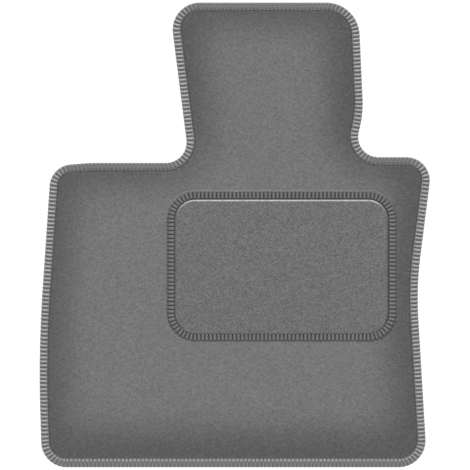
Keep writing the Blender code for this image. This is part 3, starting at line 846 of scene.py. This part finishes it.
edgeWhipUpper = whipRing("edgeWhipUpper", mat, edgeUpper, finishes["edge_yarn"])
edgeWhipLower = whipRing("edgeWhipLower", mat, edgeLower, finishes["edge_yarn"])
heelPadWhipUpper = whipRing("heelPadWhipUpper", pad, padUpper, finishes["heel_pad_yarn"])
heelPadWhipLower = whipRing("heelPadWhipLower", pad, padLower, finishes["heel_pad_yarn"])


# Sewing threads

threadShape = {
    "sides": 8, "swell": 0.4,
    "waist": 0.3, "endShade": 0.7,  # thickness, and painted shade at a stitch's ends where it dips into the cloth, against its middle
    "columns": [0.0, 0.06, 0.18, 0.38, 0.62, 0.82, 0.94],
}
seamRow = {"stitch": 3.5, "start": 0.0}
# each thread's tones are painted light and shade by the way its row faces, such as a painted highlight on the
# heel side of the edge's needle thread
threads = {
    "edgeNeedleStitches": {
        "outline": mat, "inset": 11.95, "height": 6.35, "thick": 0.7, "dip": -0.2,
        "stitch": stitchRow["pitch"], "start": edgeRow["start"],
        "tones": {"toe": 1.15, "heel": 2.05, "left": 0.95, "right": 0.95}},
    "heelPadNeedleStitches": {
        "outline": pad, "inset": 10.2, "height": 7.5, "thick": 0.7, "dip": -0.2,
        "stitch": stitchRow["pitch"], "start": padRow["start"],
        "tones": {"toe": 1.3, "heel": 0.85, "left": 1.04, "right": 0.95}},
    "heelPadSeamStitches": {
        "outline": pad, "inset": 11.15, "height": 7.5, "thick": 0.7, "dip": -0.25, **seamRow,
        "tones": {"toe": 0.66, "heel": 1.42, "left": 0.84, "right": 0.7}},
    "heelPadBobbinStitches": {
        "outline": pad, "inset": 11.25, "height": 0.65, "thick": 0.68, "dip": 0.25, **seamRow,
        "tones": allRound(1.0)},
}


def stitchRing(name, thread, material):
    # A round thread that shows once for every stitch: its thickness follows sin(pi t) ** swell between a thin
    # waist and the full thread, and it dips towards the cloth at both ends of the stitch. It is painted
    # darker at the ends as shade, and its tone is painted light and shade by the way the row faces.
    outline, sides = thread["outline"], threadShape["sides"]
    waist, endShade = threadShape["waist"], threadShape["endShade"]
    t = np.array(threadShape["columns"])
    count = round(rowEnds(outline)[-1] / thread["stitch"])
    phase = (np.arange(count)[:, None] + thread["start"] + t).ravel()
    swell = np.sin(math.pi * np.tile(t, count)) ** threadShape["swell"]
    radius = thread["thick"] / 2 * (waist + (1 - waist) * swell)
    angle = np.arange(sides) * 2 * math.pi / sides
    inset = thread["inset"] + radius[:, None] * np.cos(angle)
    height = (thread["height"] + thread["dip"] * (1 - swell))[:, None] + radius[:, None] * np.sin(angle)
    where = alongRow(outline, phase, count)
    points = carried(outline, np.repeat(where[:, None], sides, axis=1), inset, height)
    mapAround = np.arange(sides + 1) * thread["thick"] * math.pi / sides
    mapAlong = np.append(phase, phase[0] + count) * thread["stitch"]
    uv = ringMap(mapAlong, mapAround)[..., ::-1]  # turned, so that the strands run along the thread
    _, inward = walk(outline, where)
    # painted light and shade by the way the row faces, and painted shade at the stitch ends
    tone = sum(share * thread["tones"][way] for way, share in facing(inward).items())
    tone = np.repeat(tone * (endShade + (1 - endShade) * swell), sides)
    return addPiece(name, points, [ringFaces(len(phase), sides, True)], material, uv, ribTone=tone)


stitches = {name: stitchRing(name, thread, finishes["sewing_thread"]) for name, thread in threads.items()}
print("whipping and stitches done")


# What each piece stands for

fits = [
    (carpetPile, "pile_carpet", "carpet_pile"),
    (tuftCloth, "primary_backing", "primary_backing"),
    (crumbBacking, "anti_slip_backing", "anti_slip_backing"),
    (edgeWhipUpper, "edge_upper_yarn", "edge_yarn"),
    (edgeWhipLower, "edge_lower_yarn", "edge_yarn"),
    (stitches["edgeNeedleStitches"], "edge_needle_thread", "sewing_thread"),
    (heelPadPile, "heel_pad_pile", "heel_pad_pile"),
    (heelPadCloth, "heel_pad_backing", "heel_pad_backing"),
    (heelPadWhipUpper, "heel_pad_upper_yarn", "heel_pad_yarn"),
    (heelPadWhipLower, "heel_pad_lower_yarn", "heel_pad_yarn"),
    (stitches["heelPadNeedleStitches"], "heel_pad_needle_thread", "sewing_thread"),
    (stitches["heelPadSeamStitches"], "heel_pad_seam_thread", "sewing_thread"),
    (stitches["heelPadBobbinStitches"], "heel_pad_bobbin_thread", "sewing_thread"),
]
for piece, node, slot in fits:
    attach(piece, "root")
    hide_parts(node)


# Studio: white floor, one soft low light from the toe side, even light all round, camera straight above

studio = {
    "key": 7.5, "keyHeight": 14.0, "keySoft": 16.0, "fill": 0.55,  # the key's height and width in degrees
    "floor": {"grey": 0.08, "rough": 0.9, "shine": 0.25}, "floorGlow": 0.97,
    "floorReach": 80.0, "floorLevel": -0.0005,
    "lens": 100.0, "sensor": 36.0, "aim": (0.00035, -0.00027),
    "frameWidth": 0.6572, "frameLevel": 0.005,  # metres across the picture, at this height above the floor
}
white = (1.0, 1.0, 1.0, 1.0)

floorMesh = bpy.data.meshes.new("floor")
far, low = studio["floorReach"], studio["floorLevel"]
floorCorners = [(x * far, y * far, low) for x, y in ((-1, -1), (1, -1), (1, 1), (-1, 1))]
floorMesh.from_pydata(floorCorners, [], [(0, 1, 2, 3)])
floorFinish, _, floorShader = startFinish("floorFinish", studio["floor"])
floorShader.inputs["Emission Color"].default_value = white
floorShader.inputs["Emission Strength"].default_value = studio["floorGlow"]
floorMesh.materials.append(floorFinish)
addObject("floor", floorMesh)

world = bpy.data.worlds.new("studioLight")
world.use_nodes = True
world.node_tree.nodes["Background"].inputs["Color"].default_value = white
world.node_tree.nodes["Background"].inputs["Strength"].default_value = studio["fill"]
bpy.context.scene.world = world

keyLight = bpy.data.lights.new("keyLight", "SUN")
keyLight.energy = studio["key"]
keyLight.angle = math.radians(studio["keySoft"])
# a lamp shines along its own -Z, so tip it back to shine from the toe side, low over the pile
addObject("keyLight", keyLight).rotation_euler = (-math.radians(90 - studio["keyHeight"]), 0, 0)

cameraData = bpy.data.cameras.new("camera")
cameraData.lens, cameraData.sensor_width = studio["lens"], studio["sensor"]
camera = addObject("camera", cameraData)
camera.location = (*studio["aim"],
                   studio["frameLevel"] + studio["frameWidth"] * studio["lens"] / studio["sensor"])
bpy.context.scene.camera = camera
bpy.context.scene.view_settings.view_transform = "Standard"
print("studio done")
